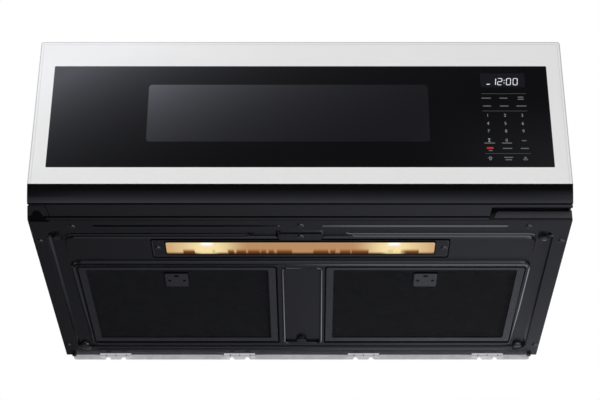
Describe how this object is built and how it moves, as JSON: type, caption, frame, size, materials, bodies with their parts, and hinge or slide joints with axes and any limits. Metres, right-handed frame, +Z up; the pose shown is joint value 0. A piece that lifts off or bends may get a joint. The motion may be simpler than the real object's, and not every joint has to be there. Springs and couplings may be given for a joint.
{
  "type": "over the range microwave",
  "caption": "Slim over the range microwave with a full width glass door, touch controls, turntable, and a hood with lamps and grease filters below.",
  "frame": {"origin": "middle of the footprint, at the lowest edge of the wall plate", "axes": "+X to the right seen from the front, +Y back to the wall, +Z up"},
  "size_m": [0.759, 0.466, 0.292],
  "materials": {
    "white_glass": "gloss, printed white with a black field",
    "gloss_black": "gloss",
    "satin_black": "satin",
    "black_steel": "satin, fine texture",
    "black_plastic": "matt",
    "grey_plastic": "matt",
    "galvanised": "galvanised",
    "steel": "bright",
    "enamel": "smooth enamel",
    "aluminium": "mill",
    "filter_black": "black coated",
    "mica": "matt",
    "board": "lacquered",
    "clear_glass": "clear",
    "frosted_lens": "frosted",
    "warm_lamp": "frosted, lit",
    "charcoal": "granular"
  },
  "bodies": {
    "chassis": {"base_plate": "black_steel", "hinge_cover": "satin_black", "lower_hinge": "steel", "upper_hinge": "steel", "outer_case": "black_steel", "rear_panel": "galvanised", "front_frame": "black_steel", "bay_floor": "galvanised", "top_vent_grille": "black_plastic", "charcoal_filter": "charcoal", "exhaust_cover": "galvanised", "cord_gland": "black_plastic", "mounting_plate": "galvanised", "cavity_liner": "enamel", "waveguide_cover": "mica", "waveguide": "aluminium", "magnetron": "steel", "inverter_board": "board", "cavity_lamp": "black_plastic", "interlock_bracket": "grey_plastic", "lower_door_switch": "black_plastic", "upper_door_switch": "black_plastic", "cooling_fan_frame": "black_plastic", "turntable_motor": "steel", "lamp_cover": "black_steel", "lamp_lens": "frosted_lens", "lamp_reflector": "aluminium", "left_lamp": "warm_lamp", "right_lamp": "warm_lamp", "blower_motor": "steel", "left_blower_housing": "black_plastic", "right_blower_housing": "black_plastic"},
    "door": {"front_glass": "white_glass", "door_frame": "black_plastic", "door_bottom_trim": "gloss_black", "door_lip": "satin_black", "door_inner_panel": "black_steel", "door_screen": "black_steel", "inner_window": "clear_glass", "touch_board": "board", "display_module": "black_plastic", "latch_spring": "steel"},
    "latch": {"latch_hooks": "grey_plastic"},
    "turntable": {"turntable_coupler": "grey_plastic", "glass_tray": "clear_glass"},
    "roller_ring": {"roller_ring": "grey_plastic"},
    "wheel_1": {"roller_wheel_1": "grey_plastic"},
    "wheel_2": {"roller_wheel_2": "grey_plastic"},
    "wheel_3": {"roller_wheel_3": "grey_plastic"},
    "blower_rotor": {"blower_shaft": "steel", "left_blower_wheel": "grey_plastic", "right_blower_wheel": "grey_plastic"},
    "fan_rotor": {"cooling_fan": "grey_plastic"},
    "left_filter": {"left_filter_frame": "filter_black", "left_filter_mesh": "filter_black", "left_filter_tab": "filter_black"},
    "right_filter": {"right_filter_frame": "filter_black", "right_filter_mesh": "filter_black", "right_filter_tab": "filter_black"}
  },
  "joints": [
    {"name": "door_hinge", "type": "hinge", "parent": "chassis", "child": "door", "pos_m": [-0.3685, -0.2, 0.15], "axis": [0, 0, -1], "range_deg": [0, 100]},
    {"name": "latch_lift", "type": "slide", "parent": "door", "child": "latch", "axis": [0, 0, 1], "range_m": [0, 0.004], "stiffness_N_per_m": 400, "springref_m": -0.003, "deforming": ["latch_spring"]},
    {"name": "turntable_spin", "type": "hinge", "parent": "chassis", "child": "turntable", "pos_m": [-0.025, -0.0255, 0.08], "axis": [0, 0, 1], "continuous": true},
    {"name": "roller_ring_spin", "type": "hinge", "parent": "chassis", "child": "roller_ring", "pos_m": [-0.025, -0.0255, 0.0758], "axis": [0, 0, 1], "continuous": true},
    {"name": "wheel_1_spin", "type": "hinge", "parent": "roller_ring", "child": "wheel_1", "pos_m": [0.087, -0.0255, 0.0758], "axis": [1, 0, 0], "continuous": true},
    {"name": "wheel_2_spin", "type": "hinge", "parent": "roller_ring", "child": "wheel_2", "pos_m": [-0.081, 0.0715, 0.0758], "axis": [-0.5, 0.866, 0], "continuous": true},
    {"name": "wheel_3_spin", "type": "hinge", "parent": "roller_ring", "child": "wheel_3", "pos_m": [-0.081, -0.1225, 0.0758], "axis": [-0.5, -0.866, 0], "continuous": true},
    {"name": "blower_spin", "type": "hinge", "parent": "chassis", "child": "blower_rotor", "pos_m": [0, 0.183, 0.213], "axis": [1, 0, 0], "continuous": true},
    {"name": "cooling_fan_spin", "type": "hinge", "parent": "chassis", "child": "fan_rotor", "pos_m": [0.31, 0.19, 0.137], "axis": [0, 1, 0], "continuous": true},
    {"name": "left_filter_drop", "type": "hinge", "parent": "chassis", "child": "left_filter", "pos_m": [-0.18175, 0.183, 0.008], "axis": [1, 0, 0], "range_deg": [0, 60]},
    {"name": "right_filter_drop", "type": "hinge", "parent": "chassis", "child": "right_filter", "pos_m": [0.1835, 0.183, 0.008], "axis": [1, 0, 0], "range_deg": [0, 60]}
  ],
  "couplings": [
    {"joint": "roller_ring_spin", "follows": "turntable_spin", "ratio": 0.5},
    {"joint": "wheel_1_spin", "follows": "turntable_spin", "ratio": -8.6154},
    {"joint": "wheel_2_spin", "follows": "turntable_spin", "ratio": -8.6154},
    {"joint": "wheel_3_spin", "follows": "turntable_spin", "ratio": -8.6154}
  ]
}
